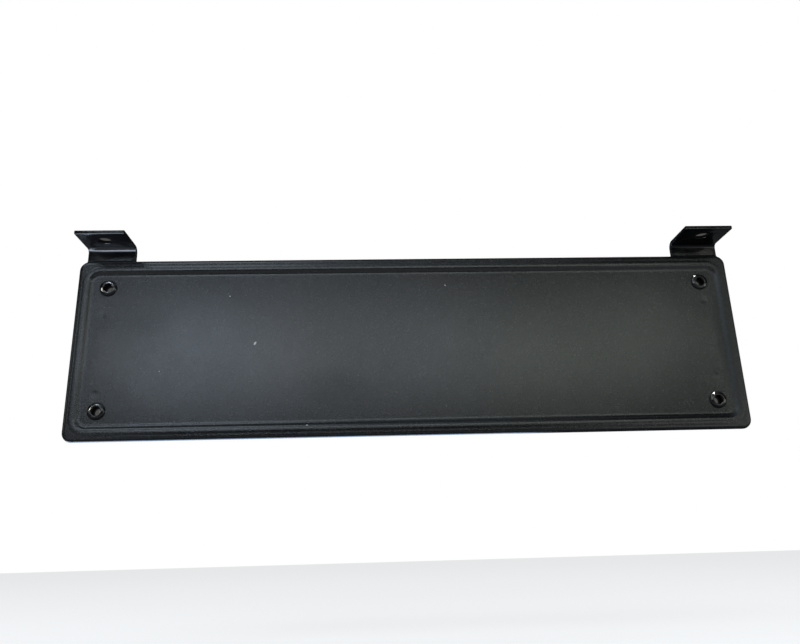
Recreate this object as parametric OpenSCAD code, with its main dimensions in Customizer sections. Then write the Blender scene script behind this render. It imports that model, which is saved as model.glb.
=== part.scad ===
// Number plate holder in black painted sheet steel. A wide panel has a pressed border that leaves
// a sunken field for the number plate. A flat-bar hanger lies behind each end of it, held by two
// tubular rivets and two spot welds, and its top is folded forward into a leaf with a bolt hole.
//
// Millimetres, +X to the right as seen from the front, +Z up, and the front faces -Y.
// The origin lies midway between the two leaf holes, on the upper face of the leaves,
// which is the face that bolts up against the vehicle.

/* [Panel] */
// Width over the rolled edges
panel_w = 540; // [460:1:640]
// Height over the rolled edges
panel_h = 148.5; // [130:0.5:220]
// Thickness of the panel's sheet
sheet_t = 1.2; // [0.8:0.1:2]
// Corner radius of the outer edge
corner_r = 8; // [6:0.5:12]

/* [Pressed border] */
// Depth of the field below the crest of the border
step_drop = 1.4; // [1:0.1:2]
// Width of the sloping step between the crest and the field
step_w = 7.4; // [6:0.1:9]
// From the side edges to the crest of the border
crest_inset_side = 5.6; // [5.4:0.1:9]
// From the top and bottom edges to the crest of the border
crest_inset_end = 6.6; // [5.4:0.1:9]
// Corner radius of the crest
crest_corner_r = 12; // [10:0.5:16]
// Height of the crest above the rim outside it
ridge_h = 0.12; // [0.05:0.01:0.3]
// Width of the crest's outer flank
ridge_w = 2.1; // [2:0.1:3]
// Width of the rim's flat stretch beside the crest, at the side edges
rim_flat_w = 0.3; // [0.2:0.1:0.6]
// How far the rim leans back towards the edge, in degrees
rim_tilt = 5; // [1:1:8]
// Radius of the bend where the rim starts to lean back, at the middle of the sheet
lean_mid_r = 2.6; // [1.6:0.1:4]

/* [Hangers] */
// Width of the flat bar
bar_w = 39; // [30:1:44]
// Thickness of the flat bar
bar_t = 3; // [2:0.5:5]
// From the panel's side edges to the centre line of the bar, its holes and its welds
line_inset = 24.6; // [22:0.1:40]
// From the panel's top edge up to the underside of the leaf
leaf_rise = 10.7; // [8:0.1:40]
// From the leaf's free edge to the centre of its hole
leaf_hole_front = 14.3; // [9:0.1:30]
// From the centre of the leaf's hole to the front face of the leg
leaf_hole_back = 18.2; // [12:0.1:30]
// Diameter of the leaf's bolt hole
leaf_hole_d = 10.5; // [6:0.1:13]
// Inside radius of the fold between leaf and leg
fold_r = 3; // [1:0.5:5]
// From the panel's bottom edge up to the end of the leg
leg_end = 9; // [5:0.5:12]

/* [Tubular rivets] */
// From the panel's top and bottom edges to the rivets
rivet_inset = 23.7; // [22:0.1:32]
// Bore that the number plate's bolt passes through
rivet_bore = 7; // [5:0.1:8]
// Wall of the rivet's tube
rivet_wall = 1; // [0.6:0.1:1.5]
// Radius of the head that is rolled over on the field
front_roll = 1.75; // [1.2:0.05:2]
// Radius of the tail that is rolled over on the bar
rear_roll = 1.25; // [1:0.05:1.6]
// Clearance around the tube, in radius
rivet_clearance = 0.1; // [0.05:0.01:0.3]

/* [Spot welds] */
// From the panel's top and bottom edges to the spot welds
weld_inset = 42; // [38:1:50]
// Diameter of the dimple that the electrode leaves
weld_d = 7; // [4:0.5:10]
// Depth of the dimple
weld_depth = 0.25; // [0.1:0.05:0.4]

/* [Hidden] */
SIDES = ["left", "right"];
ENDS = ["top", "bottom"];
$fn = 96;
// Every bend has at least this many facets, and one more for each stretch of bend_facet degrees
bend_steps = 2;
bend_facet = 10;
steel = [0.17, 0.18, 0.19];
bar_steel = [0.11, 0.12, 0.13];
rivet_steel = [0.22, 0.23, 0.24];

// Heights in the panel's own frame: it lies flat, its front faces +Z, and the crest is at 0
field_z = -step_drop;
field_back_z = field_z - sheet_t;
rivet_back_z = field_back_z - bar_t;

// The rim leans back from its flat stretch and rolls over to end level with the field's back
rim_w = crest_inset_side - ridge_w - rim_flat_w;
rim_span = rim_w - sheet_t / 2;
rim_depth = step_drop - ridge_h + sheet_t / 2;
lean_depth = rim_depth - lean_mid_r * (1 - cos(rim_tilt));
lean_run = rim_span - lean_mid_r * sin(rim_tilt);
lean_slope = tan(rim_tilt);
roll_mid_r = (lean_depth - lean_run * lean_slope) / (cos(rim_tilt) - lean_slope * (1 - sin(rim_tilt)));

// Sizes of the foot of the crest and of the flat field inside the step
foot_w = panel_w - 2 * (crest_inset_side - ridge_w);
foot_h = panel_h - 2 * (crest_inset_end - ridge_w);
foot_r = crest_corner_r + ridge_w;
field_w = panel_w - 2 * (crest_inset_side + step_w);
field_h = panel_h - 2 * (crest_inset_end + step_w);
field_r = crest_corner_r - step_w;

// Places of the pieces in the holder's frame
panel_top_z = -bar_t - leaf_rise;
panel_mid_z = panel_top_z - panel_h / 2;
leg_end_z = panel_top_z - panel_h + leg_end;
crest_y = leaf_hole_back + field_back_z;
line_x = panel_w / 2 - line_inset;
rivet_v = panel_h / 2 - rivet_inset;
weld_v = panel_h / 2 - weld_inset;
rivet_bore_r = rivet_bore / 2;
tube_r = rivet_bore_r + rivet_wall;

// Two equal bends, with no straight between them, that raise the sheet over the width w
function shift_angle(w, rise) = 2 * atan(rise / w);
function shift_mid_r(w, rise) = (w * w + rise * rise) / (4 * rise);

// Point on a circle
function polar(centre, r, angle) = centre + r * [cos(angle), sin(angle)];

// Rectangle with round corners, centred
module rounded_plate(w, h, r) {
    square([w - 2 * r, h], center = true);
    square([w, h - 2 * r], center = true);
    for (x = [-1, 1]) {
        for (y = [-1, 1]) {
            translate([x * (w / 2 - r), y * (h / 2 - r)])
                circle(r = r);
        }
    }
}

// Points of one face of a bent sheet, the front one for side 1 and the back one for side -1.
// Each bend is [centre, middle radius, first angle, last angle] and runs straight to the next.
function face_points(bends, side) = apart([
    for (bend = bends)
        let (turn = bend[3] - bend[2], steps = bend_steps + ceil(abs(turn) / bend_facet))
        for (k = [0:steps])
            polar(bend[0], bend[1] - side * sign(turn) * sheet_t / 2, bend[2] + turn * k / steps)
]);

// The same points without those that repeat the one before, where bends touch
function apart(points) = [
    for (k = [0:len(points) - 1])
        if (k == 0 || norm(points[k] - points[max(0, k - 1)]) > sheet_t / 1000) points[k]
];

function reversed(points) = [for (k = [len(points) - 1:-1:0]) points[k]];

module sheet_section(bends) {
    polygon(concat(face_points(bends, 1), reversed(face_points(bends, -1))));
}

// Sweeps a section round a frame of outer size w by h. The section's X axis points outwards and
// is measured from the centre of the corner radius r.
module swept_frame(w, h, r) {
    for (quarter = [0:3]) {
        across = quarter % 2 == 0 ? w : h;
        along = quarter % 2 == 0 ? h : w;
        rotate(90 * quarter)
            translate([across / 2 - r, along / 2 - r, 0]) {
                rotate([90, 0, 0])
                    linear_extrude(along - 2 * r)
                        children();
                rotate_extrude(angle = 90)
                    children();
            }
    }
}

// Section of the leaning rim and the rolled edge, outwards from the rim's flat stretch
module rim_section() {
    lean = [corner_r - rim_w, -ridge_h - sheet_t / 2 - lean_mid_r];
    roll = [corner_r - sheet_t / 2 - roll_mid_r, field_back_z];
    sheet_section([
        [lean, lean_mid_r, 90, 90 - rim_tilt],
        [roll, roll_mid_r, 90 - rim_tilt, 0]
    ]);
}

// Section of the step and the crest, outwards from the field
module step_section() {
    step_angle = shift_angle(step_w, step_drop);
    step_mid_r = shift_mid_r(step_w, step_drop);
    ridge_angle = shift_angle(ridge_w, ridge_h);
    ridge_mid_r = shift_mid_r(ridge_w, ridge_h);
    sheet_section([
        [[field_r, field_z - sheet_t / 2 + step_mid_r], step_mid_r, 270, 270 + step_angle],
        [[crest_corner_r, -sheet_t / 2 - step_mid_r], step_mid_r, 90 + step_angle, 90],
        [[crest_corner_r, -sheet_t / 2 - ridge_mid_r], ridge_mid_r, 90, 90 - ridge_angle],
        [[foot_r, -ridge_h - sheet_t / 2 + ridge_mid_r], ridge_mid_r, 270 - ridge_angle, 270]
    ]);
}

// Flat stretch of the rim round the foot of the crest
module rim_flat() {
    translate([0, 0, -ridge_h - sheet_t])
        linear_extrude(sheet_t)
            difference() {
                rounded_plate(panel_w - 2 * rim_w, panel_h - 2 * rim_w, corner_r - rim_w);
                rounded_plate(foot_w, foot_h, foot_r);
            }
}

// Flat field for the number plate
module field() {
    translate([0, 0, field_back_z])
        linear_extrude(sheet_t)
            rounded_plate(field_w, field_h, field_r);
}

// Puts its children at the four points x, y mirrored about the middle of the panel
module at_four(x, y) {
    for (side = [-1, 1]) {
        for (end = [-1, 1]) {
            translate([side * x, end * y, 0])
                children();
        }
    }
}

// Stands what lies flat, front up, in its place behind the origin, front to -Y
module stood_up() {
    translate([0, crest_y, panel_mid_z])
        rotate([90, 0, 0])
            children();
}

module panel() {
    cap_r = (weld_d * weld_d / 4 + weld_depth * weld_depth) / (2 * weld_depth);
    color(steel)
        stood_up()
            difference() {
                union() {
                    swept_frame(panel_w, panel_h, corner_r)
                        rim_section();
                    rim_flat();
                    swept_frame(foot_w, foot_h, foot_r)
                        step_section();
                    field();
                }
                at_four(line_x, rivet_v)
                    translate([0, 0, field_back_z - 1])
                        cylinder(r = tube_r + rivet_clearance, h = sheet_t + 2);
                at_four(line_x, weld_v)
                    translate([0, 0, field_z + cap_r - weld_depth])
                        sphere(r = cap_r);
            }
}

// Quarter of a ring, the section of the bar's fold
module fold_section() {
    rotate(180)
        intersection() {
            difference() {
                circle(r = fold_r + bar_t);
                circle(r = fold_r);
            }
            translate([-fold_r - bar_t, -fold_r - bar_t])
                square(fold_r + bar_t);
        }
}

// Section of the bar, with its upright leg behind the panel and its leaf folded forward
module hanger_section() {
    translate([leaf_hole_back, leg_end_z])
        square([bar_t, -bar_t - fold_r - leg_end_z]);
    translate([leaf_hole_back - fold_r, -bar_t - fold_r])
        fold_section();
    translate([-leaf_hole_front, -bar_t])
        square([leaf_hole_front + leaf_hole_back - fold_r, bar_t]);
}

// Flat bar centred on x, with its bolt hole and rivet holes
module hanger(x) {
    color(bar_steel)
        difference() {
            translate([x - bar_w / 2, 0, 0])
                rotate([90, 0, 90])
                    linear_extrude(bar_w)
                        hanger_section();
            translate([x, 0, -bar_t - 1])
                cylinder(d = leaf_hole_d, h = bar_t + 2);
            stood_up()
                for (end = [-1, 1]) {
                    translate([x, end * rivet_v, rivet_back_z - 1])
                        cylinder(r = tube_r + rivet_clearance, h = bar_t + 2);
                }
        }
}

// Half disc of a rolled-over end, outside the tube, on the side of +Y
module rolled_end(r) {
    translate([rivet_bore_r + r, 0])
        intersection() {
            circle(r = r);
            translate([-r, 0])
                square([2 * r, r]);
        }
}

// Tubular rivet through the field and the bar, rolled over at both ends
module rivet(x, y) {
    color(rivet_steel)
        stood_up()
            translate([x, y, 0])
                rotate_extrude() {
                    translate([0, field_z])
                        rolled_end(front_roll);
                    translate([rivet_bore_r, rivet_back_z])
                        square([rivet_wall, field_z - rivet_back_z]);
                    translate([0, rivet_back_z])
                        mirror([0, 1])
                            rolled_end(rear_roll);
                }
}

panel();
for (s = [0:1]) {
    way = s == 0 ? -1 : 1;
    hanger(way * line_x);
    for (e = [0:1]) {
        up = e == 0 ? 1 : -1;
        rivet(way * line_x, up * rivet_v);
    }
}
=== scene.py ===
"""Number plate holder: the looks of the pressed panel, its flat-bar hangers and the tubular rivets.

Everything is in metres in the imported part's own frame: +X to the right, +Z up, the front faces -Y.
On the panel, v is the height above its middle. Paint patterns are worked out in millimetres.
"""

from math import atan, cos, degrees, pi, radians, sin, tan

import bmesh
import bpy
from bpy.props import FloatProperty, FloatVectorProperty, PointerProperty
from mathutils import Matrix, Vector


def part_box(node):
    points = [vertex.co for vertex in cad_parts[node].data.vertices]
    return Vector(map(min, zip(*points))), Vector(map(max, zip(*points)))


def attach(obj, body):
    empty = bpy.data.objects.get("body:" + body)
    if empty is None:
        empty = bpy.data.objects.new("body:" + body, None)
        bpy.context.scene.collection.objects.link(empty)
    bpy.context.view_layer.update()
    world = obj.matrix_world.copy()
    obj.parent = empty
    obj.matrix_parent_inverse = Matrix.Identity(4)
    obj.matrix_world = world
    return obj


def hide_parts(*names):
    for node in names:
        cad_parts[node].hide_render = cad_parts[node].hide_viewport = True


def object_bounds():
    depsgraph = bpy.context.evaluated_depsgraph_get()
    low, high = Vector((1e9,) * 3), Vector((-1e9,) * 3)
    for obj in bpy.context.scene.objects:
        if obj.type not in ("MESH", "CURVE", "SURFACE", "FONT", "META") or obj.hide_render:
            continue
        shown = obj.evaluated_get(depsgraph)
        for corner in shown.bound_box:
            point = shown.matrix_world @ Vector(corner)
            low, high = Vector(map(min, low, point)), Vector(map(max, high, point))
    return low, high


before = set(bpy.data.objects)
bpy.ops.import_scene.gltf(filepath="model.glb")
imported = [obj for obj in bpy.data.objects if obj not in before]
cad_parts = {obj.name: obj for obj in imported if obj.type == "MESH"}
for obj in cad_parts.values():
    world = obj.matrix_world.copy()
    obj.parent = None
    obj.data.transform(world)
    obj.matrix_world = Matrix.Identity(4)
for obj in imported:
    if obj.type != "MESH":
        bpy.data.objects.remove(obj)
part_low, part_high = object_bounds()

bl_info = {
    "name": "Number plate holder",
    "version": (1, 0, 0),
    "blender": (4, 5, 0),
    "location": "View3D > Sidebar > Plate holder",
    "description": "Builds the looks of a pressed number plate holder on its packed part",
    "category": "Object",
}

MM = 0.001
TINY = 1e-9
SIDES = ("left", "right")
ENDS = ("top", "bottom")
panel_low, panel_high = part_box("panel")
hanger_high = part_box("hanger_left")[1]
rivet_low, rivet_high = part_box("rivet_top_left")
PANEL_HALF_W = (panel_high.x - panel_low.x) / 2
PANEL_HALF_H = (panel_high.z - panel_low.z) / 2
PANEL_MID_Z = (panel_low.z + panel_high.z) / 2
CREST_Y = panel_low.y
LINE_X = -(rivet_low.x + rivet_high.x) / 2
RIVET_V = (rivet_low.z + rivet_high.z) / 2 - PANEL_MID_Z


def length(name, text, size):
    """A size's property; its default is given in millimetres."""
    return FloatProperty(
        name=name, description=text, default=size * MM, min=0, max=1, unit="LENGTH", precision=5
    )


def slope(name, text, size):
    """A slope's property; its default is given in degrees."""
    return FloatProperty(name=name, description=text, default=radians(size), subtype="ANGLE")


def colour(name, text, default):
    return FloatVectorProperty(
        name=name, description=text, default=default, min=0, max=1, size=3, subtype="COLOR"
    )


class PanelSizes(bpy.types.PropertyGroup):
    sheet_t: length("Sheet", "Thickness of the sheet", 1.2)
    corner_r: length("Edge corner", "Corner radius of the outer edge", 8)
    step_drop: length("Step drop", "Depth of the field below the crest", 1.4)
    step_w: length("Step width", "Width of the sloping step with its soft ends", 7.9)
    soft: slope("Soft slope", "Slope at the end of the step's soft first bend", 3)
    steep: slope("Steepest slope", "Slope in the middle of the step", 27.5)
    crest_side: length("Crest inset, sides", "From the side edges to the crest", 5.6)
    crest_end: length("Crest inset, ends", "From the top and bottom edges to the crest", 6.6)
    crest_r: length("Crest corner", "Corner radius of the crest", 12)
    ridge_h: length("Crest height", "Height of the crest above the rim", 0.12)
    ridge_w: length("Crest flank", "Width of the crest's outer flank", 2.1)
    rim_flat: length("Rim flat", "Width of the rim's flat stretch", 0.3)
    rim_tilt: slope("Rim tilt", "How far the rim leans back", 5)
    lean_r: length("Lean bend", "Radius at the middle of the sheet where the rim starts to lean", 2.6)
    hole_r: length("Rivet hole", "Radius of the rivet holes", 4.6)
    weld_r: length("Weld dimple", "Radius of the dimples of the spot welds", 4)
    weld_depth: length("Weld depth", "Depth of the dimples", 0.1)


class HangerSizes(bpy.types.PropertyGroup):
    bar_t: length("Bar", "Thickness of the flat bar", 3)
    fold_r: length("Fold", "Inside radius of the fold", 3)
    hole_r: length("Bolt hole", "Radius of the leaf's bolt hole", 5.25)
    edge_r: length("Edges", "Radius of the bar's worn edges", 0.5)
    bead_r: length("Bead", "Radius of the paint fillet between the panel's edge and the bar", 1.4)
    bead_up: length("Bead, up", "From the panel's edge up to the fillet's end on the bar", 1.2)
    bead_down: length("Bead, down", "From the panel's edge down to the fillet's lower end", 0.9)
    bead_sink: length("Bead, sink", "How far the fillet's lower end is sunk into the bar", 0.1)
    bead_end: length("Bead, ends", "From the bar's sides to the fillet's ends", 0.5)


class RivetSizes(bpy.types.PropertyGroup):
    bore_r: length("Bore", "Radius of the rivet's bore", 3.5)
    wall: length("Wall", "Wall of the rivet's tube", 1.0)
    front_roll: length("Head", "Radius of the head rolled over on the field", 1.75)
    crown: length("Crown", "From the bore to the crown of the head", 0.35)
    rear_roll: length("Tail", "Radius of the tail rolled over on the bar", 1.25)


class Finishes(bpy.types.PropertyGroup):
    paint: colour("Paint", "Black paint on the panel", (0.0045, 0.0048, 0.0052))
    mottle: colour("Mottle", "Paler grain in the panel's paint", (0.028, 0.029, 0.031))
    bar_paint: colour("Bar paint", "Black paint on the bars and rivets", (0.0016, 0.0016, 0.0018))
    dust: colour("Dust", "Pale specks and dust", (0.62, 0.60, 0.56))


class Values(bpy.types.PropertyGroup):
    panel: PointerProperty(type=PanelSizes)
    hanger: PointerProperty(type=HangerSizes)
    rivet: PointerProperty(type=RivetSizes)
    finish: PointerProperty(type=Finishes)


def settings():
    return bpy.context.scene.plate_holder


class Wire:
    """A shader socket whose sums and products add Math nodes."""

    def __init__(self, build, socket):
        self.build = build
        self.socket = socket

    def __add__(self, other):
        return self.build.maths("ADD", self, other)

    def __radd__(self, other):
        return self.build.maths("ADD", other, self)

    def __mul__(self, other):
        return self.build.maths("MULTIPLY", self, other)

    def __rmul__(self, other):
        return self.build.maths("MULTIPLY", other, self)


class Nodes:
    """Builds the nodes of one material, or of the world."""

    def __init__(self, owner):
        self.owner = owner
        owner.use_nodes = True
        self.tree = owner.node_tree
        self.tree.nodes.clear()

    def node(self, kind, choices=None, output=0, **inputs):
        """Adds a node. Its inputs go by name, with _ for a space, or by number as i0, i1 and so on."""
        node = self.tree.nodes.new(kind)
        for name, value in (choices or {}).items():
            setattr(node, name, value)
        for name, value in inputs.items():
            numbered = name[0] == "i" and name[1:].isdigit()
            socket = node.inputs[int(name[1:]) if numbered else name.replace("_", " ")]
            if isinstance(value, Wire):
                self.tree.links.new(value.socket, socket)
            elif socket.type == "RGBA":
                socket.default_value = (*value, 1)
            else:
                socket.default_value = value
        return Wire(self, node.outputs[output])

    def maths(self, operation, a, b):
        return self.node("ShaderNodeMath", {"operation": operation}, i0=a, i1=b)

    def vector(self, operation, a, b):
        return self.node("ShaderNodeVectorMath", {"operation": operation}, i0=a, i1=b)

    def ramp(self, value, low, high, to_low=0.0, to_high=1.0):
        """Maps the stretch from low to high smoothly to that from to_low to to_high."""
        return self.node(
            "ShaderNodeMapRange",
            {"interpolation_type": "SMOOTHSTEP"},
            Value=value,
            From_Min=low,
            From_Max=high,
            To_Min=to_low,
            To_Max=to_high,
        )

    def mix(self, factor, a, b):
        return self.node("ShaderNodeMix", {"data_type": "RGBA"}, 2, i0=factor, i6=a, i7=b)

    def strongest(self, masks):
        """The highest of several masks at each point."""
        top = masks[0]
        for mask in masks[1:]:
            top = self.maths("MAXIMUM", top, mask)
        return top

    def place(self, centre=(0, 0, 0), scale=(1, 1, 1), turn=(0, 0, 0)):
        """Object coordinates in millimetres about a centre, turned and then scaled."""
        point = self.node("ShaderNodeTexCoord", output="Object")
        moved = self.vector("SUBTRACT", point, centre)
        turned = self.node("ShaderNodeMapping", Vector=moved, Rotation=turn)
        return self.vector("MULTIPLY", turned, tuple(s / MM for s in scale))

    def noise(self, point, scale, detail, roughness):
        return self.node("ShaderNodeTexNoise", Vector=point, Scale=scale, Detail=detail, Roughness=roughness)

    def distance(self, point):
        return self.node("ShaderNodeVectorMath", {"operation": "LENGTH"}, "Value", i0=point)

    def ray(self, kind):
        return self.node("ShaderNodeLightPath", output="Is %s Ray" % kind)

    def seen(self):
        """1 for the rays that the camera sees directly or through clear parts."""
        return self.maths("MAXIMUM", self.ray("Camera"), self.ray("Transmission"))

    def surface(self, shader):
        """Ends the tree in a shader and gives the material or world."""
        world = isinstance(self.owner, bpy.types.World)
        output = self.tree.nodes.new("ShaderNodeOutputWorld" if world else "ShaderNodeOutputMaterial")
        self.tree.links.new(shader.socket, output.inputs["Surface"])
        return self.owner

    def gloss_paint(self, **inputs):
        return self.surface(self.node("ShaderNodeBsdfPrincipled", **inputs))


# Spot welds: x and v, in millimetres from the panel's middle
WELDS = ((-247.1, 28.4), (247.1, 34.0), (-248.3, -36.8), (247.0, -30.5))
# Pale flecks: x, v, half length and half width in millimetres, and turn in degrees
FLECKS = (
    (-125.4, 2.3, 1.9, 1.0, 60),
    (-147.0, 42.6, 0.6, 0.5, 0),
    (29.7, 50.1, 0.9, 0.5, -30),
    (-83.2, -64.6, 0.8, 0.6, 0),
    (-199.7, -19.5, 0.4, 0.25, -40),
)
# Dull patches where the paint has been rubbed, written as the flecks are
SMUDGES = (
    (-233.7, 11.7, 4.6, 1.6, 0),
    (-244.0, 20.0, 12.0, 9.0, 20),
    (-212.0, 26.0, 34.0, 20.0, 15),
    (-60.0, -38.0, 42.0, 24.0, 0),
    (98.4, -23.0, 5.0, 1.5, 10),
    (247.0, 25.0, 14.0, 12.0, 0),
)
# Duller paint on the side borders: the patch, written as the flecks are, and the roughness it adds
BORDER_WEAR = (
    ((-261.0, 0.0, 120.0, 17.0, 90), 0.06),
    ((265.0, 0.0, 120.0, 17.0, 90), 0.26),
)


def patch(build, x, v, long, wide, turn, soft):
    """Mask of one long patch on the panel, full inside the soft share of its size."""
    centre = (x * MM, 0, PANEL_MID_Z + v * MM)
    point = build.place(centre, (1 / long, 0, 1 / wide), (0, radians(turn), 0))
    return build.ramp(build.distance(point), 1.0, soft)


def panel_paint():
    """Black gloss paint with a fine grain, pale flecks, dust, and dull patches."""
    build = Nodes(bpy.data.materials.new("panel_paint"))
    values = settings().finish
    point = build.place()
    clouds = build.noise(point, scale=0.012, detail=4.0, roughness=0.6)
    coarse = build.noise(point, scale=0.8, detail=2.0, roughness=0.7)
    grain = build.noise(point, scale=1.3, detail=2.0, roughness=0.6)
    fine = build.noise(point, scale=4.0, detail=2.0, roughness=0.6)
    dust = build.ramp(build.noise(point, scale=0.9, detail=1.0, roughness=0.4), 0.76, 0.84)
    flecks = [patch(build, *fleck, soft=0.6) * 0.9 for fleck in FLECKS]
    marks = build.strongest([dust * 0.15] + flecks)
    dull = build.strongest([patch(build, *smudge, soft=0.2) for smudge in SMUDGES])
    worn = sum(patch(build, *border, soft=0.35) * amount for border, amount in BORDER_WEAR)
    darker = tuple(0.85 * c for c in values.paint)
    paler = tuple(1.15 * c for c in values.paint)
    base = build.mix(build.ramp(clouds, 0.35, 0.65), darker, paler)
    base = build.mix(build.ramp(coarse, 0.48, 0.80), base, values.mottle)
    base = build.mix(marks, base, values.dust)
    rough = build.ramp(clouds, 0.3, 0.7, 0.13, 0.18) + grain * 0.02 + dull * 0.045 + worn
    height = grain * 0.5 + fine * 0.2 + coarse * 0.15
    bump = build.node("ShaderNodeBump", Strength=0.5, Distance=0.0002, Height=height)
    return build.gloss_paint(Base_Color=base, Roughness=rough, Normal=bump, Specular_IOR_Level=0.5)


def bar_paint(name, roughness, shine):
    """Black gloss paint of the bars and rivets, of a least roughness and a specular level."""
    build = Nodes(bpy.data.materials.new(name))
    values = settings().finish
    grain = build.noise(build.place(), scale=0.8, detail=3.0, roughness=0.6)
    paler = tuple(1.8 * c for c in values.bar_paint)
    base = build.mix(build.ramp(grain, 0.55, 0.75), values.bar_paint, paler)
    rough = build.ramp(grain, 0.3, 0.7, roughness, roughness + 0.1)
    bump = build.node("ShaderNodeBump", Strength=0.3, Distance=0.0003, Height=grain)
    return build.gloss_paint(Base_Color=base, Roughness=rough, Normal=bump, Specular_IOR_Level=shine)


def to_mesh(build, name):
    """Plain mesh of a bmesh, which is used up."""
    mesh = bpy.data.meshes.new(name)
    build.to_mesh(mesh)
    build.free()
    return mesh


def add_object(name, mesh):
    thing = bpy.data.objects.new(name, mesh)
    bpy.context.scene.collection.objects.link(thing)
    return thing


def smooth(mesh, sharp):
    """Smooth shading, with hard edges where faces turn by more than some degrees."""
    mesh.shade_smooth()
    mesh.set_sharp_from_angle(angle=radians(sharp))


def baked(context, source, name):
    """Mesh of an object with its modifiers applied, in place of the object."""
    context.view_layer.update()
    mesh = bpy.data.meshes.new_from_object(source.evaluated_get(context.evaluated_depsgraph_get()))
    mesh.name = name
    bpy.data.objects.remove(source)
    return mesh


def new_piece(name, mesh, material, nodes):
    piece = add_object(name, mesh)
    piece.data.materials.clear()
    piece.data.materials.append(material)
    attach(piece, "root")
    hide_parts(*nodes)
    return piece


def arc(centre, radius, first, last, steps):
    """Points of an arc from one angle to another, in degrees."""
    points = []
    for k in range(steps + 1):
        turn = radians(first + (last - first) * k / steps)
        points.append((centre[0] + radius * cos(turn), centre[1] + radius * sin(turn)))
    return points


def strip(build, a, b):
    """Joins two closed loops of as many points by a band of faces."""
    for k in range(len(a)):
        n = (k + 1) % len(a)
        build.faces.new((a[k], a[n], b[n], b[k]))


# Steps of the meshes' round stretches, and of the loops' long and short sides
CORNER_STEPS = 14
SIDE_STEPS = (40, 12)
HOLE_STEPS = 48
DIMPLE_STEPS = 32
DIMPLE_RINGS = 7
RIVET_STEPS = 64


def even_bends(width, rise):
    """Radius and turn in degrees of two equal bends that touch and raise the sheet over a width."""
    return (width * width + rise * rise) / (4 * rise), degrees(2 * atan(rise / width))


def step_bends(p):
    """Radii of the soft first bend and the tighter second one of half a step."""
    run, fall = p.step_w / 2, p.step_drop / 2
    a, b = sin(p.soft), sin(p.steep) - sin(p.soft)
    c, d = 1 - cos(p.soft), cos(p.soft) - cos(p.steep)
    wide = (run * d - fall * b) / (a * d - b * c)
    return wide, (fall - wide * c) / d


def rim_stations(p, half):
    """Stations of the rolled edge and the leaning rim, inwards, as (distance out from the crest, height).

    half is half the sheet's thickness, above zero for the front face and below for the back one."""
    tilt = degrees(p.rim_tilt)
    rise = tan(p.rim_tilt)
    flat_end = p.ridge_w + p.rim_flat
    lean_run = p.crest_side - flat_end - p.sheet_t / 2 - p.lean_r * sin(p.rim_tilt)
    lean_depth = p.step_drop - p.ridge_h + p.sheet_t / 2 - p.lean_r * (1 - cos(p.rim_tilt))
    roll_r = (lean_depth - lean_run * rise) / (cos(p.rim_tilt) - rise * (1 - sin(p.rim_tilt)))
    roll = (p.crest_side - p.sheet_t / 2 - roll_r, -p.step_drop - p.sheet_t)
    lean = (flat_end, -p.ridge_h - p.sheet_t / 2 - p.lean_r)
    rim = arc(roll, roll_r + half, 0, 90 - tilt, 14)
    return rim + arc(lean, p.lean_r + half, 90 - tilt, 90, 3)


def crest_stations(p, half):
    """Stations of the crest and the step down to the field, as rim_stations gives those of the rim."""
    mid = -p.sheet_t / 2
    ridge_r, ridge = even_bends(p.ridge_w, p.ridge_h)
    wide, tight = step_bends(p)
    soft, steep = degrees(p.soft), degrees(p.steep)
    near = (-(wide - tight) * sin(p.soft), mid - wide + (wide - tight) * cos(p.soft))
    far = (-p.step_w - near[0], 2 * mid - p.step_drop - near[1])
    crest = arc((p.ridge_w, mid - p.ridge_h + ridge_r), ridge_r - half, 270, 270 - ridge, 5)
    crest += arc((0, mid - ridge_r), ridge_r + half, 90 - ridge, 90, 5)[1:]
    crest += arc((0, mid - wide), wide + half, 90, 90 + soft, 3)[1:]
    crest += arc(near, tight + half, 90 + soft, 90 + steep, 7)[1:]
    crest += arc(far, tight - half, 270 + steep, 270 + soft, 7)[1:]
    return crest + arc((-p.step_w, mid - p.step_drop + wide), wide - half, 270 + soft, 270, 3)[1:]


def rounded_loop(half_w, half_h, r):
    """Points of a rounded rectangle, as many for any size, anticlockwise from the right side's top."""
    corners = ((1, 1, 0), (-1, 1, 90), (-1, -1, 180), (1, -1, 270))
    bends = []
    for sx, sy, first in corners:
        bends.append(arc((sx * (half_w - r), sy * (half_h - r)), r, first, first + 90, CORNER_STEPS))
    loop = []
    for k, bend in enumerate(bends):
        start, end = bend[-1], bends[(k + 1) % len(bends)][0]
        steps = SIDE_STEPS[k % 2]
        loop += bend
        loop += [tuple(a + (b - a) * n / steps for a, b in zip(start, end)) for n in range(1, steps)]
    return loop


def ring_points(p, out, height):
    """Loop round the panel at a distance out from the crest, at one height.

    Outside the crest's flank it follows the edge's corners, and inside it the crest's own."""
    inset = p.crest_side - out
    if out > p.ridge_w + TINY:
        loop = rounded_loop(PANEL_HALF_W - inset, PANEL_HALF_H - inset, p.corner_r - inset)
    else:
        loop = rounded_loop(PANEL_HALF_W - inset, PANEL_HALF_H - p.crest_end + out, p.crest_r + out)
    return [(x, y, height) for x, y in loop]


def circle(x, y, radius, height, steps):
    turns = [2 * pi * k / steps for k in range(steps)]
    return [(x + radius * cos(turn), y + radius * sin(turn), height) for turn in turns]


def stand(build, points):
    """Adds points of the lying panel, front up, to the standing one, front to -Y."""
    return [build.verts.new((x, CREST_Y - z, PANEL_MID_Z + y)) for x, y, z in points]


def sweep_face(build, p, half):
    """Sweeps one face of the sheet from its rolled edge in to the field; gives its first and last loops."""
    loops = []
    for out, height in rim_stations(p, half) + crest_stations(p, half):
        loops.append(stand(build, ring_points(p, out, height)))
    for a, b in zip(loops, loops[1:]):
        strip(build, a, b)
    return loops[0], loops[-1]


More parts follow.
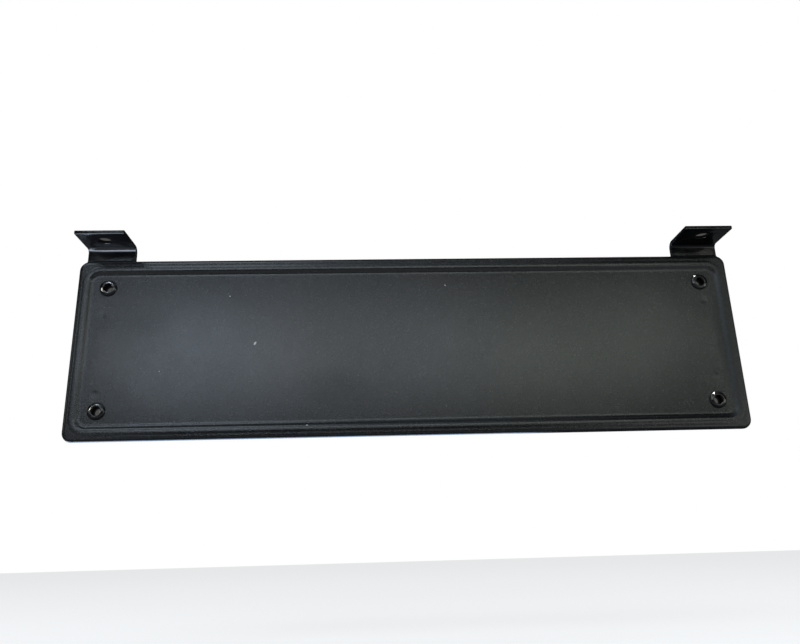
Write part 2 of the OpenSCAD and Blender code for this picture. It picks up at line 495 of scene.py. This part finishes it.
def rivet_holes(build, p, level):
    """Loops of the four rivet holes at one level."""
    holes = []
    for x in (-LINE_X, LINE_X):
        for v in (-RIVET_V, RIVET_V):
            holes.append(stand(build, circle(x, v, p.hole_r, level, HOLE_STEPS)))
    return holes


def weld_dimple(build, p, x, v, level):
    """Adds the dimple of one spot weld under the field's level; gives its outer loop."""
    rings = []
    for k in range(DIMPLE_RINGS):
        share = 1 - k / DIMPLE_RINGS
        depth = p.weld_depth * (1 + cos(pi * share)) / 2
        ring = circle(x * MM, v * MM, p.weld_r * share, level - depth, DIMPLE_STEPS)
        rings.append(stand(build, ring))
    for a, b in zip(rings, rings[1:]):
        strip(build, a, b)
    last = rings[-1]
    bottom = stand(build, [(x * MM, v * MM, level - p.weld_depth)])[0]
    for k in range(DIMPLE_STEPS):
        build.faces.new((last[k], last[(k + 1) % DIMPLE_STEPS], bottom))
    return rings[0]


def fill_field(build, loops):
    """Fills the flat field inside the first loop, apart from the others."""
    edges = []
    for loop in loops:
        for k in range(len(loop)):
            pair = (loop[k], loop[(k + 1) % len(loop)])
            edges.append(build.edges.get(pair) or build.edges.new(pair))
    bmesh.ops.triangle_fill(build, use_beauty=True, use_dissolve=False, edges=edges)


class BuildPanel(bpy.types.Operator):
    """Builds the pressed panel with its border, rolled edge and rivet holes"""

    bl_idname = "plate_holder.panel"
    bl_label = "Pressed panel"

    def execute(self, context):
        p = settings().panel
        skin = bmesh.new()
        front_edge, front_field = sweep_face(skin, p, p.sheet_t / 2)
        back_edge, back_field = sweep_face(skin, p, -p.sheet_t / 2)
        strip(skin, front_edge, back_edge)
        front_holes = rivet_holes(skin, p, -p.step_drop)
        dimples = [weld_dimple(skin, p, x, v, -p.step_drop) for x, v in WELDS]
        fill_field(skin, [front_field] + front_holes + dimples)
        back_holes = rivet_holes(skin, p, -p.step_drop - p.sheet_t)
        fill_field(skin, [back_field] + back_holes)
        for near, far in zip(front_holes, back_holes):
            strip(skin, near, far)
        bmesh.ops.recalc_face_normals(skin, faces=skin.faces)
        mesh = to_mesh(skin, "panel_skin")
        smooth(mesh, 35)
        new_piece("panel_skin", mesh, panel_paint(), ["panel"])
        return {"FINISHED"}


def prism(build, outline, left, right):
    """Adds a closed prism along X over an outline of y and z."""
    first = [build.verts.new((left, y, z)) for y, z in outline]
    last = [build.verts.new((right, y, z)) for y, z in outline]
    faces = [build.faces.new(first), build.faces.new(last[::-1])]
    for k in range(len(outline)):
        n = (k + 1) % len(outline)
        faces.append(build.faces.new((first[k], last[k], last[n], first[n])))
    bmesh.ops.recalc_face_normals(build, faces=faces)


def drill(centre, way, radius, depth):
    """Round cutter for a hole, along Y or Z."""
    turn = Matrix.Rotation(pi / 2, 4, "X") if way == "Y" else Matrix.Identity(4)
    tool = bmesh.new()
    bmesh.ops.create_cone(
        tool,
        cap_ends=True,
        segments=HOLE_STEPS,
        radius1=radius,
        radius2=radius,
        depth=depth,
        matrix=Matrix.Translation(centre) @ turn,
    )
    return add_object("drill", to_mesh(tool, "drill"))


def bar_outline(p, low, high):
    """Side view of a folded bar: the leg, the fold and the leaf above, as y and z."""
    outer_r = p.fold_r + p.bar_t
    centre = (high.y - outer_r, high.z - outer_r)
    outline = [(high.y, low.z)]
    outline += arc(centre, outer_r, 0, 90, 16)
    outline += [(low.y, high.z), (low.y, high.z - p.bar_t)]
    outline += arc(centre, p.fold_r, 90, 0, 12)
    return outline + [(high.y - p.bar_t, low.z)]


def bead_outline(p, leg_y):
    """Side view of the paint fillet on the panel's upper edge, in front of the bar's leg."""
    front = leg_y - p.bead_r
    foot = panel_high.z - p.bead_down
    outline = arc((front, panel_high.z + p.bead_up), p.bead_r, 0, -90, 8)
    return outline + [(front, foot), (leg_y + p.bead_sink, foot)]


def hanger_mesh(context, side):
    """One folded bar, drilled and with worn edges, and its paint fillet."""
    p = settings().hanger
    low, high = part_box("hanger_" + side)
    x = (low.x + high.x) / 2
    bar = bmesh.new()
    prism(bar, bar_outline(p, low, high), low.x, high.x)
    blank = add_object("bar", to_mesh(bar, "bar"))
    depth = 4 * p.bar_t
    drills = [drill((x, 0, high.z - p.bar_t / 2), "Z", p.hole_r, depth)]
    for v in (-RIVET_V, RIVET_V):
        centre = (x, high.y - p.bar_t / 2, PANEL_MID_Z + v)
        drills.append(drill(centre, "Y", settings().panel.hole_r, depth))
    for tool in drills:
        cut = blank.modifiers.new("hole", "BOOLEAN")
        cut.object = tool
        cut.solver = "EXACT"
    worn = blank.modifiers.new("worn_edges", "BEVEL")
    worn.width = p.edge_r
    worn.segments = 3
    worn.limit_method = "ANGLE"
    worn.angle_limit = radians(50)
    mesh = baked(context, blank, "hanger_" + side)
    for tool in drills:
        bpy.data.objects.remove(tool)
    whole = bmesh.new()
    whole.from_mesh(mesh)
    prism(whole, bead_outline(p, high.y - p.bar_t), low.x + p.bead_end, high.x - p.bead_end)
    whole.to_mesh(mesh)
    whole.free()
    smooth(mesh, 40)
    return mesh


class BuildHangers(bpy.types.Operator):
    """Builds the two bars with their folded leaves"""

    bl_idname = "plate_holder.hangers"
    bl_label = "Hangers"

    def execute(self, context):
        material = bar_paint("hanger_paint", roughness=0.09, shine=0.32)
        for side in SIDES:
            mesh = hanger_mesh(context, side)
            new_piece("hanger_bar_" + side, mesh, material, ["hanger_" + side])
        return {"FINISHED"}


class RivetTree:
    """Geometry Nodes tree that sets one rivet at each corner of a rectangle."""

    def __init__(self, name, material):
        self.tree = bpy.data.node_groups.new(name, "GeometryNodeTree")
        sockets = self.tree.interface
        sockets.new_socket("Rivet", in_out="INPUT", socket_type="NodeSocketGeometry")
        for label in ("Spacing X", "Spacing Z", "Middle Z"):
            sockets.new_socket(label, in_out="INPUT", socket_type="NodeSocketFloat")
        sockets.new_socket("Rivets", in_out="OUTPUT", socket_type="NodeSocketGeometry")
        start = self.tree.nodes.new("NodeGroupInput")
        end = self.tree.nodes.new("NodeGroupOutput")
        grid = self.add("GeometryNodeMeshGrid", {}, Vertices_X=2, Vertices_Y=2)
        self.link(start.outputs["Spacing X"], grid.inputs["Size X"])
        self.link(start.outputs["Spacing Z"], grid.inputs["Size Y"])
        lift = self.add("ShaderNodeCombineXYZ", {})
        self.link(start.outputs["Middle Z"], lift.inputs["Z"])
        stood = self.add("GeometryNodeTransform", {}, Rotation=(pi / 2, 0, 0))
        self.link(grid.outputs["Mesh"], stood.inputs["Geometry"])
        self.link(lift.outputs[0], stood.inputs["Translation"])
        turns = self.add("FunctionNodeRandomValue", {"data_type": "FLOAT_VECTOR"}, Seed=4)
        turns.inputs[0].default_value = (0, -pi, 0)
        turns.inputs[1].default_value = (0, pi, 0)
        copies = self.add("GeometryNodeInstanceOnPoints", {})
        self.link(stood.outputs[0], copies.inputs["Points"])
        self.link(start.outputs["Rivet"], copies.inputs["Instance"])
        self.link(turns.outputs[0], copies.inputs["Rotation"])
        real = self.add("GeometryNodeRealizeInstances", {})
        self.link(copies.outputs[0], real.inputs[0])
        paint = self.add("GeometryNodeSetMaterial", {}, Material=material)
        self.link(real.outputs[0], paint.inputs["Geometry"])
        self.link(paint.outputs[0], end.inputs[0])

    def add(self, kind, choices, **inputs):
        node = self.tree.nodes.new(kind)
        for name, value in choices.items():
            setattr(node, name, value)
        for name, value in inputs.items():
            node.inputs[name.replace("_", " ")].default_value = value
        return node

    def link(self, start, end):
        self.tree.links.new(start, end)

    def identifier(self, label):
        return next(i.identifier for i in self.tree.interface.items_tree if i.name == label)


def rivet_section(p):
    """Section of one rivet as radius and y: its rolled head, its tube and its rolled tail."""
    field_y = rivet_low.y + p.front_roll
    bar_y = rivet_high.y - p.rear_roll
    tube_r = p.bore_r + p.wall
    crown_r = p.bore_r + p.crown
    brim = 2 * p.front_roll - p.crown
    section = []
    for run, turns in ((p.crown, range(180, 90, -10)), (brim, range(90, -1, -10))):
        for turn in turns:
            section.append((crown_r + run * cos(radians(turn)), field_y - p.front_roll * sin(radians(turn))))
    section += [(tube_r, field_y), (tube_r, bar_y)]
    tail = arc((p.bore_r + p.rear_roll, 0), p.rear_roll, 0, -180, 14)
    return section + [(r, bar_y - rise) for r, rise in tail]


def turned_mesh(section, steps, name):
    """Closed mesh of a section of radius and y, turned about the Y axis."""
    build = bmesh.new()
    rings = []
    for k in range(steps):
        turn = 2 * pi * k / steps
        rings.append([build.verts.new((r * cos(turn), y, r * sin(turn))) for r, y in section])
    for k in range(steps):
        strip(build, rings[k], rings[(k + 1) % steps])
    bmesh.ops.recalc_face_normals(build, faces=build.faces)
    return to_mesh(build, name)


class BuildRivets(bpy.types.Operator):
    """Builds the tubular rivets with their rolled heads and tails"""

    bl_idname = "plate_holder.rivets"
    bl_label = "Tubular rivets"

    def execute(self, context):
        mesh = turned_mesh(rivet_section(settings().rivet), RIVET_STEPS, "rivet")
        smooth(mesh, 50)
        single = add_object("rivet", mesh)
        material = bar_paint("rivet_paint", roughness=0.09, shine=0.5)
        tree = RivetTree("rivet_pattern", material)
        pattern = single.modifiers.new("pattern", "NODES")
        pattern.node_group = tree.tree
        pattern[tree.identifier("Spacing X")] = 2 * LINE_X
        pattern[tree.identifier("Spacing Z")] = 2 * RIVET_V
        pattern[tree.identifier("Middle Z")] = PANEL_MID_Z
        shaped = baked(context, single, "rivets")
        names = ["rivet_%s_%s" % (end, side) for end in ENDS for side in SIDES]
        new_piece("rivet_rings", shaped, material, names)
        return {"FINISHED"}


# The photo's width and the camera's focal length in its pixels, the sensor, and the turns in degrees
PHOTO_W = 800
FOCAL = 727
SENSOR = 36
PAN, ROLL, PITCH = -2.34, 1.56, 17.61
EYE = Vector((-0.0366, -0.5478, -0.2488))

FLOOR_DROP = 0.16
FLOOR_HALF = 6

# Glowing grey discs that paint the room seen through the holes: under a leaf's upper face, clear of its
# hole, and how far behind a bore the grey seems to lie
LEAF_DISC_DROP = 0.4 * MM
LEAF_DISC_GAP = 0.1 * MM
BORE_GREY_DEPTH = 3.75 * MM

# What the lights face, the pieces that some of them are kept to, and the half angle of the narrow ones
HOLDER = (0, 0.017, -0.088)
LEFT_RINGS = (-LINE_X, 0, PANEL_MID_Z)
RIGHT_RINGS = (LINE_X, 0, PANEL_MID_Z)
ALL = ()
BARS = ("hanger_bar_left", "hanger_bar_right")
RINGS = ("rivet_rings",)
NARROW = radians(9)

# Soft boxes: name, centre, the point they face, width, height, brightness, colour, the pieces they light
LIGHTS = (
    ("band_left", (-0.66, -2.0, 0.46), HOLDER, 0.52, 0.31, 4.2, (0.72, 0.85, 1.0), ALL),
    ("band_middle", (0.00, -2.0, 0.47), HOLDER, 0.80, 0.31, 2.75, (0.86, 0.94, 1.0), ALL),
    ("band_right", (0.78, -2.0, 0.46), HOLDER, 0.76, 0.31, 2.1, (0.90, 1.0, 0.89), ALL),
    ("room_far_left", (-1.15, -2.0, 0.46), HOLDER, 0.45, 0.28, 1.8, (0.84, 0.93, 1.0), ALL),
    ("room_far_right", (1.62, -1.8, 0.40), HOLDER, 0.45, 0.45, 2.3, (0.96, 1.0, 0.90), ALL),
    ("room_front", (0.10, -2.05, 0.53), HOLDER, 3.0, 0.52, 0.25, (0.94, 0.98, 1.0), ALL),
    ("room_upper_left", (-0.85, -1.9, 1.35), HOLDER, 1.3, 0.7, 3.0, (0.72, 0.86, 1.0), ALL),
    ("room_upper", (0.30, -1.9, 1.35), HOLDER, 1.0, 0.7, 0.7, (0.80, 0.90, 1.0), ALL),
    ("ceiling", (0.0, -0.9, 1.85), HOLDER, 2.4, 0.6, 0.4, (0.80, 0.90, 1.0), ALL),
    ("room_side_left", (-1.95, -1.0, 0.30), HOLDER, 0.9, 0.45, 1.5, (0.90, 0.97, 1.0), ALL),
    ("table_front", (0.0, -0.90, -0.318), (0.0, -0.90, 0.0), 3.0, 0.9, 0.30, (0.92, 0.97, 1.0), ALL),
    ("low_left", (-1.15, -2.0, -0.17), HOLDER, 0.5, 0.22, 1.2, (0.86, 0.94, 1.0), ALL),
    ("low_right", (1.20, -1.9, -0.15), HOLDER, 0.9, 0.25, 1.5, (1.0, 1.0, 0.94), ALL),
    ("window_right", (1.75, -1.15, -0.02), HOLDER, 0.6, 0.4, 4.0, (0.96, 1.0, 0.92), ALL),
    ("paper_below", (-0.16, 0.20, -0.31), (-0.16, 0.20, 0.0), 0.60, 0.36, 6.0, (0.55, 0.72, 1.0), ALL),
    ("window_above", (-0.80, -1.45, 1.04), LEFT_RINGS, 0.18, 0.17, 120.0, (0.80, 0.90, 1.0), RINGS),
    ("lamp_left", (-1.20, -1.10, 0.30), LEFT_RINGS, 0.16, 0.15, 120.0, (1.0, 0.95, 0.84), RINGS),
    ("lamp_above", (0.22, -0.62, 1.15), RIGHT_RINGS, 0.32, 0.28, 360.0, (1.0, 1.0, 0.95), RINGS),
    ("ring_room", (0.0, -0.6, 1.4), HOLDER, 2.4, 1.2, 0.45, (0.85, 0.93, 1.0), RINGS),
    ("table_left", (-0.36, -0.10, -0.315), (-0.36, -0.10, 0.0), 0.30, 0.55, 13.0, (0.74, 0.84, 1.0), BARS),
)


def floor_paint():
    """Pale floor that keeps the holder's shadow for the camera and stays dim in the paint's reflections."""
    build = Nodes(bpy.data.materials.new("floor_white"))
    lit = build.node("ShaderNodeBsdfDiffuse", Color=(0.9, 0.9, 0.9))
    glow = build.node("ShaderNodeEmission", Color=(1, 1, 1), Strength=0.62)
    pale = build.node("ShaderNodeAddShader", i0=lit, i1=glow)
    dim = build.node("ShaderNodeBsdfDiffuse", Color=(0.32, 0.33, 0.34))
    return build.surface(build.node("ShaderNodeMixShader", i0=build.seen(), i1=dim, i2=pale))


def add_floor():
    z = part_low.z - FLOOR_DROP
    corners = [(x * FLOOR_HALF, y * FLOOR_HALF, z) for x, y in ((-1, -1), (1, -1), (1, 1), (-1, 1))]
    mesh = bpy.data.meshes.new("floor")
    mesh.from_pydata(corners, [], [(0, 1, 2, 3)])
    mesh.materials.append(floor_paint())
    floor = add_object("floor", mesh)


def painted_room_and_bore_shade(centre, radius):
    """Glowing grey that paints the room seen through one hole, with painted shade of the bore's wall beyond
    a radius in millimetres, and clear from behind.
    """
    build = Nodes(bpy.data.materials.new("room_behind"))
    # Painted shade: near black beyond the radius; inside it a glowing grey stands in for the shaded room
    # seen through the hole
    near = build.ramp(build.distance(build.place(centre)), radius + 0.5, radius - 0.5)
    shade = build.mix(near, (0.003, 0.003, 0.003), (0.075, 0.074, 0.072))
    grey = build.node("ShaderNodeEmission", Color=shade, Strength=1.0)
    clear = build.node("ShaderNodeBsdfTransparent")
    behind = build.node("ShaderNodeNewGeometry", output="Backfacing")
    return build.surface(build.node("ShaderNodeMixShader", i0=behind, i1=grey, i2=clear))


def room_disc(centre, grey_centre, way, radius, grey_r):
    """Closes one hole with a glowing disc, which paints the room seen through it and the shade around it."""
    disc = bmesh.new()
    place = Matrix.Translation(centre) @ Vector(way).to_track_quat("Z", "Y").to_matrix().to_4x4()
    bmesh.ops.create_circle(disc, cap_ends=True, segments=32, radius=radius, matrix=place)
    mesh = to_mesh(disc, "room_behind")
    mesh.materials.append(painted_room_and_bore_shade(grey_centre, grey_r))
    cover = add_object("room_behind", mesh)


def add_room_discs():
    """Closes the leaves' bolt holes and the rivets' bores with glowing discs of painted room and shade."""
    sizes = settings()
    for x in (-LINE_X, LINE_X):
        leaf = Vector((x, 0, hanger_high.z - LEAF_DISC_DROP))
        room_disc(leaf, leaf, (0, 0, -1), sizes.hanger.hole_r - LEAF_DISC_GAP, 9.0)
        for v in (-RIVET_V, RIVET_V):
            end = Vector((x, rivet_high.y - sizes.rivet.rear_roll, PANEL_MID_Z + v))
            aside = (end - EYE) / (end.y - EYE.y) * BORE_GREY_DEPTH
            grey_centre = Vector((end.x - aside.x, end.y, end.z - aside.z))
            room_disc(end, grey_centre, (0, -1, 0), sizes.rivet.bore_r, 3.5)


def add_light(name, centre, target, width, height, bright, tint, only):
    """Adds one soft box. Those that face a row of rivets shine in a narrow cone.

    Only the rivets themselves shade the boxes that are kept to the rivets."""
    lamp = bpy.data.lights.new(name, "AREA")
    lamp.shape = "RECTANGLE"
    lamp.size = width
    lamp.size_y = height
    lamp.color = tint
    lamp.energy = bright * pi * width * height
    if target in (LEFT_RINGS, RIGHT_RINGS):
        lamp.spread = 2 * NARROW
        lamp.energy *= 1 - NARROW / tan(NARROW)
    light = bpy.data.objects.new(name, lamp)
    light.location = centre
    light.rotation_euler = (Vector(centre) - Vector(target)).to_track_quat("Z", "Y").to_euler()
    light.visible_camera = False
    if only:
        lit = bpy.data.collections.new(name)
        for piece in only:
            lit.objects.link(bpy.data.objects[piece])
        light.light_linking.receiver_collection = lit
        if only == RINGS:
            light.light_linking.blocker_collection = lit
    bpy.context.scene.collection.objects.link(light)


def studio_world():
    """White behind the holder, and a dim room for the rays that light it or that its paint mirrors."""
    build = Nodes(bpy.data.worlds.new("studio"))
    white = build.node("ShaderNodeBackground", Color=(1, 1, 1), Strength=1.0)
    soft = build.node("ShaderNodeBackground", Color=(0.93, 0.96, 1.0), Strength=0.2)
    dim = build.node("ShaderNodeBackground", Color=(0.93, 0.96, 1.0), Strength=0.05)
    room = build.node("ShaderNodeMixShader", i0=build.ray("Glossy"), i1=soft, i2=dim)
    return build.surface(build.node("ShaderNodeMixShader", i0=build.seen(), i1=room, i2=white))


def photo_camera():
    """Camera at the photo's viewing angle."""
    lens = bpy.data.cameras.new("camera")
    lens.sensor_width = SENSOR
    lens.lens = SENSOR * FOCAL / PHOTO_W
    camera = add_object("camera", lens)
    turn = Matrix.Identity(4)
    for angle, axis in ((PAN, "Z"), (ROLL, "Y"), (PITCH, "X"), (90, "X")):
        turn = turn @ Matrix.Rotation(radians(angle), 4, axis)
    camera.matrix_world = Matrix.Translation(EYE) @ turn
    return camera


class BuildStage(bpy.types.Operator):
    """Sets the floor, the lights, the world and the camera"""

    bl_idname = "plate_holder.stage"
    bl_label = "Studio"

    def execute(self, context):
        context.scene.view_settings.view_transform = "Standard"
        add_floor()
        add_room_discs()
        for light in LIGHTS:
            add_light(*light)
        context.scene.world = studio_world()
        context.scene.camera = photo_camera()
        return {"FINISHED"}


class HolderPanel(bpy.types.Panel):
    """Lists the holder's pieces and sizes"""

    bl_idname = "VIEW3D_PT_plate_holder"
    bl_label = "Number plate holder"
    bl_space_type = "VIEW_3D"
    bl_region_type = "UI"
    bl_category = "Plate holder"

    def draw(self, context):
        values = context.scene.plate_holder
        for label, operator, group in (
            ("Panel", BuildPanel, values.panel),
            ("Hangers", BuildHangers, values.hanger),
            ("Rivets", BuildRivets, values.rivet),
            ("Finishes", None, values.finish),
            ("Studio", BuildStage, None),
        ):
            box = self.layout.box()
            box.label(text=label)
            if operator:
                box.operator(operator.bl_idname)
            if group:
                for name in group.bl_rna.properties.keys():
                    if name not in ("rna_type", "name"):
                        box.prop(group, name)


CLASSES = (
    PanelSizes,
    HangerSizes,
    RivetSizes,
    Finishes,
    Values,
    BuildPanel,
    BuildHangers,
    BuildRivets,
    BuildStage,
    HolderPanel,
)


def register():
    for item in CLASSES:
        bpy.utils.register_class(item)
    bpy.types.Scene.plate_holder = PointerProperty(type=Values)


def unregister():
    del bpy.types.Scene.plate_holder
    for item in reversed(CLASSES):
        bpy.utils.unregister_class(item)


def write_size():
    bpy.context.view_layer.update()


def main():
    register()
    bpy.ops.plate_holder.panel()
    bpy.ops.plate_holder.hangers()
    bpy.ops.plate_holder.rivets()
    bpy.ops.plate_holder.stage()
    write_size()


if __name__ == "__main__":
    main()
